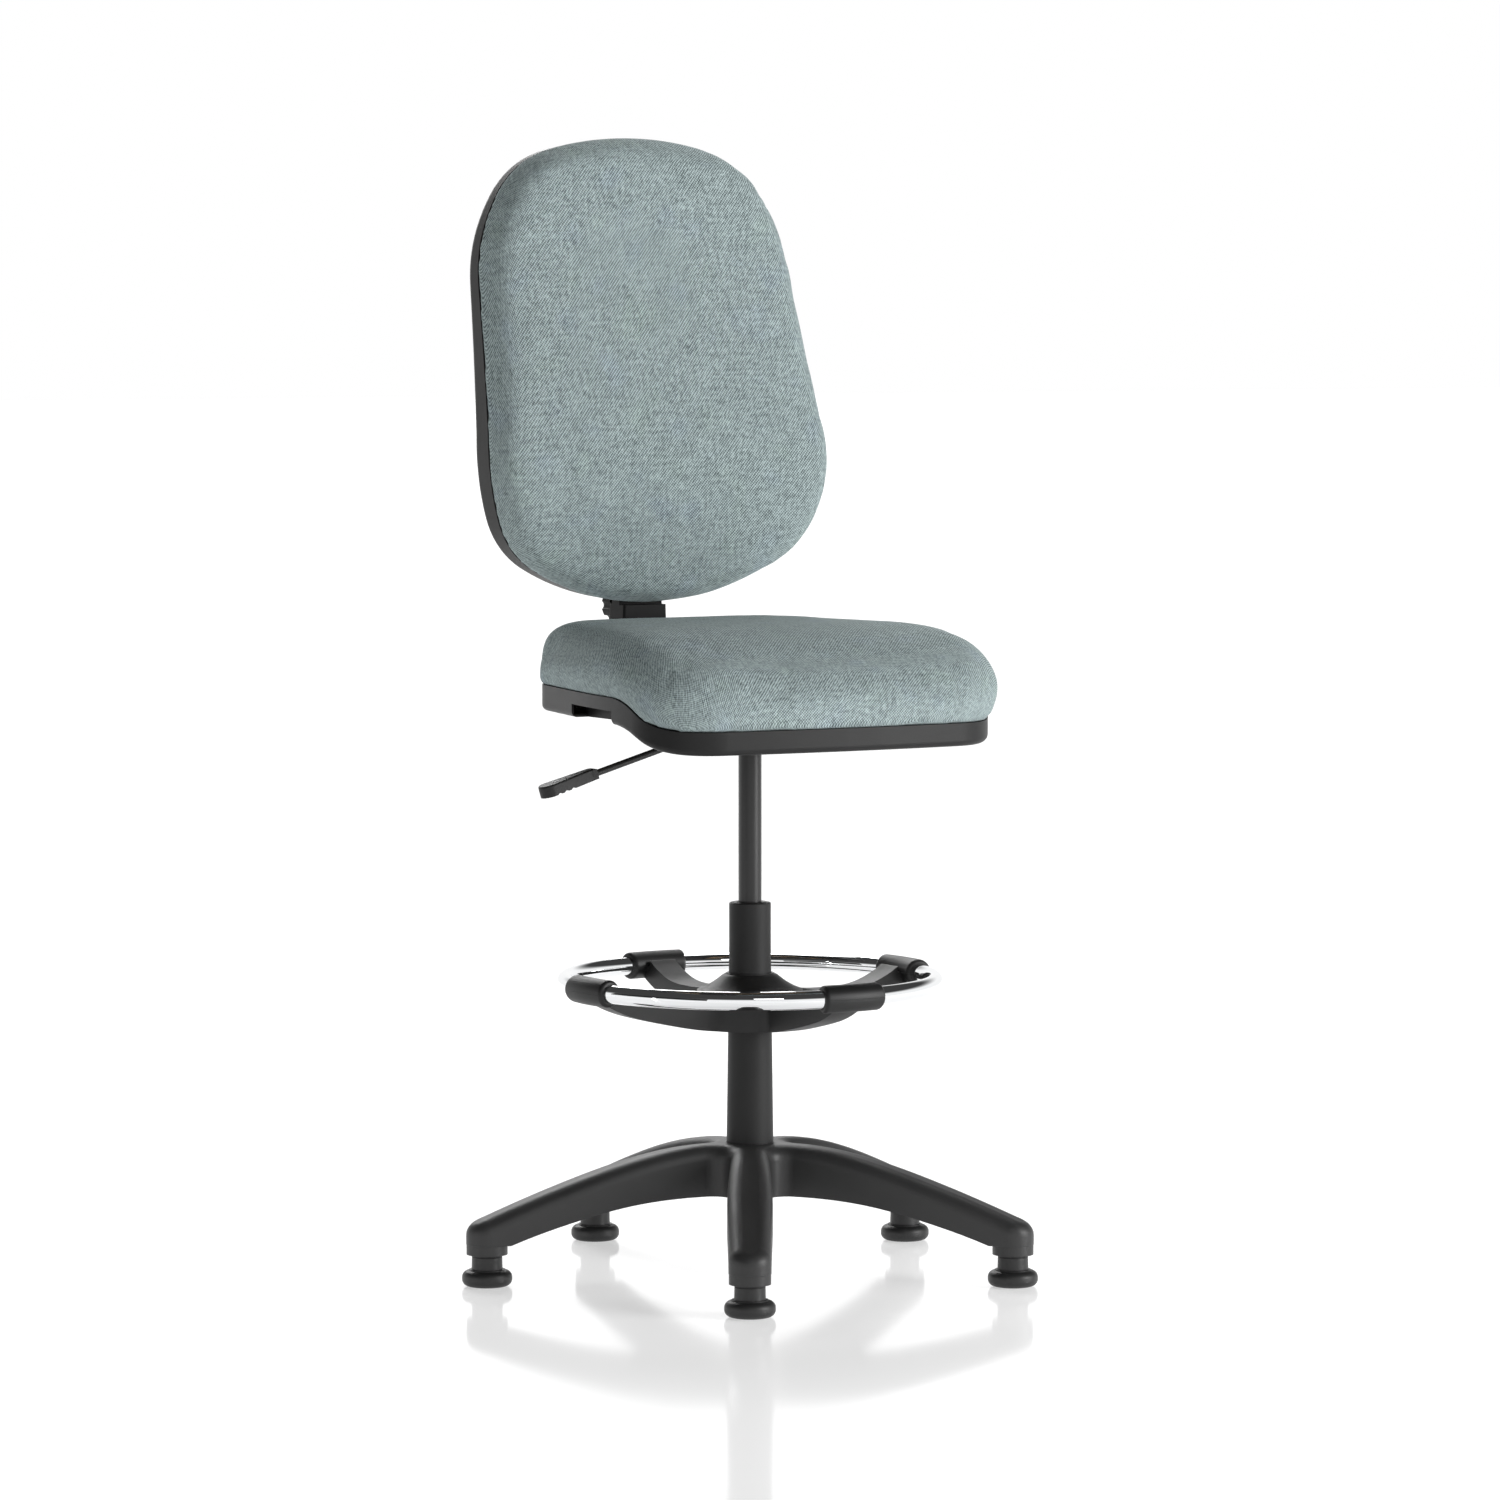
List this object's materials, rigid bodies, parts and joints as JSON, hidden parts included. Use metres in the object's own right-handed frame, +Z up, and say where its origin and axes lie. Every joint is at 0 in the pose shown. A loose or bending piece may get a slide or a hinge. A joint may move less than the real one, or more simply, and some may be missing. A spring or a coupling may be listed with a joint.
{
  "type": "drafting chair",
  "caption": "Armless drafting chair with a padded seat and high back, a gas-lift column, a chromed foot ring and a star base on fixed glides.",
  "frame": {"origin": "on the column's axis at floor level", "axes": "+Z up along the column, -Y the way the sitter faces, +X the sitter's left"},
  "size_m": [0.6843, 0.674, 1.374],
  "materials": {
    "fabric": "matte",
    "shell_plastic": "satin",
    "black_plastic": "satin",
    "base_nylon": "satin",
    "glide_nylon": "satin",
    "black_steel": "satin",
    "bright_steel": "satin",
    "chrome": "polished",
    "rubber": "matte",
    "plywood": "matte"
  },
  "bodies": {
    "base": {"star_base": "base_nylon", "glide_foot_1": "glide_nylon", "glide_foot_2": "glide_nylon", "glide_foot_3": "glide_nylon", "glide_foot_4": "glide_nylon", "glide_foot_5": "glide_nylon", "glide_neck_1": "glide_nylon", "glide_neck_2": "glide_nylon", "glide_neck_3": "glide_nylon", "glide_neck_4": "glide_nylon", "glide_neck_5": "glide_nylon", "column_tube": "black_steel", "column_bush": "black_plastic"},
    "swivel": {"piston_rod": "bright_steel", "rod_clip": "bright_steel", "thrust_bearing": "bright_steel", "bump_stop": "rubber"},
    "lift": {"gas_cylinder": "black_steel", "taper_socket": "black_steel", "mech_channel": "black_steel", "lever_pivot_pin": "bright_steel", "recline_pin": "bright_steel", "seat_board": "plywood", "seat_bolts": "bright_steel", "seat_cushion": "fabric", "seat_shell": "shell_plastic"},
    "lever": {"lever_rod": "black_steel", "lever_handle": "black_plastic"},
    "valve": {"release_pin": "bright_steel"},
    "back_bar": {"j_bar": "black_steel", "bar_cover": "black_plastic"},
    "clamp_knob": {"knob_body": "black_plastic", "knob_stud": "bright_steel"},
    "back": {"back_stem": "black_steel", "back_screws": "bright_steel", "back_board": "plywood", "back_cushion": "fabric", "back_shell": "shell_plastic"},
    "collet": {"ring_collet": "black_plastic"},
    "foot_ring": {"ring_spider": "black_plastic", "chrome_ring": "chrome", "ring_clip_1": "black_plastic", "ring_clip_2": "black_plastic", "ring_clip_3": "black_plastic", "ring_clip_4": "black_plastic"}
  },
  "joints": [
    {"name": "seat_swivel", "type": "hinge", "parent": "base", "child": "swivel", "pos_m": [0, 0, 0], "axis": [0, 0, 1], "continuous": true},
    {"name": "seat_lift", "type": "slide", "parent": "swivel", "child": "lift", "axis": [0, 0, 1], "range_m": [-0.165, 0]},
    {"name": "lever_press", "type": "hinge", "parent": "lift", "child": "lever", "pos_m": [-0.03, 0, 0.686], "axis": [0, 1, 0], "range_deg": [0, 5], "stiffness_Nm_per_rad": 6, "springref_deg": -5.73},
    {"name": "valve_stroke", "type": "slide", "parent": "lift", "child": "valve", "axis": [0, 0, -1], "range_m": [0, 0.003]},
    {"name": "back_recline", "type": "hinge", "parent": "lift", "child": "back_bar", "pos_m": [0, 0.11, 0.659], "axis": [-1, 0, 0], "range_deg": [0, 14], "stiffness_Nm_per_rad": 80, "springref_deg": -17.19},
    {"name": "back_height", "type": "slide", "parent": "back_bar", "child": "back", "axis": [0, 0, 1], "range_m": [0, 0.07]},
    {"name": "knob_turn", "type": "hinge", "parent": "back_bar", "child": "clamp_knob", "pos_m": [0, 0.297, 0.795], "axis": [0, 1, 0], "range_deg": [-180, 180]},
    {"name": "ring_height", "type": "slide", "parent": "base", "child": "collet", "axis": [0, 0, 1], "range_m": [0, 0.04]},
    {"name": "ring_twist", "type": "hinge", "parent": "collet", "child": "foot_ring", "pos_m": [0, 0, 0.355], "axis": [0, 0, 1], "range_deg": [-45, 45]}
  ],
  "couplings": [
    {"joint": "valve_stroke", "follows": "lever_press", "m_per_rad": 0.034}
  ]
}
